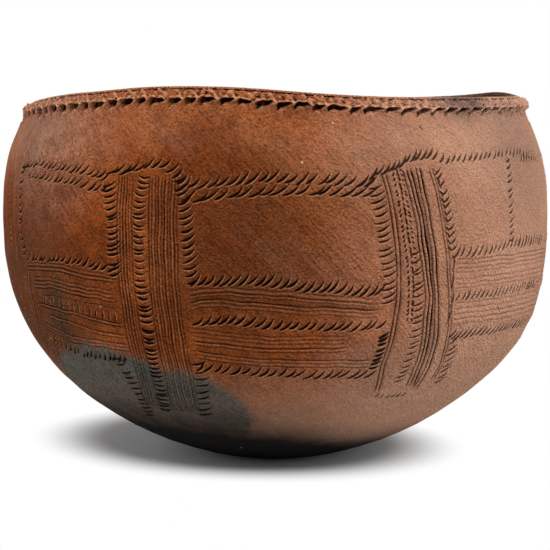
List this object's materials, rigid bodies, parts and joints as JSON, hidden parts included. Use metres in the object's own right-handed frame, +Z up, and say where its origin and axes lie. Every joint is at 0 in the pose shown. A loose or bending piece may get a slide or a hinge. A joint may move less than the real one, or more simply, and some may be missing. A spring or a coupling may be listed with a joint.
{
  "type": "round-bottomed terracotta cooking bowl",
  "caption": "Wide hand-built earthenware bowl with a round bottom, a bulging comb-incised wall and a notched, slightly flared lip.",
  "frame": {"origin": "middle of the worn flat spot that the bowl rests on", "axes": "+Z up through the mouth, -Y towards the viewer of the picture, +X to the viewer's right"},
  "size_m": [0.34, 0.34, 0.2308],
  "materials": {
    "sooted_clay": "matte unglazed terracotta, darkened by fire",
    "fired_clay": "matte unglazed terracotta, smoothed by hand",
    "rim_clay": "matte unglazed terracotta, rubbed pale on the edges"
  },
  "bodies": {
    "root": {"base_shell": "sooted_clay", "wall_coil_1": "fired_clay", "wall_coil_2": "fired_clay", "wall_coil_3": "fired_clay", "wall_coil_4": "fired_clay", "wall_coil_5": "fired_clay", "wall_coil_6": "fired_clay", "rim_coil": "rim_clay"}
  },
  "joints": []
}
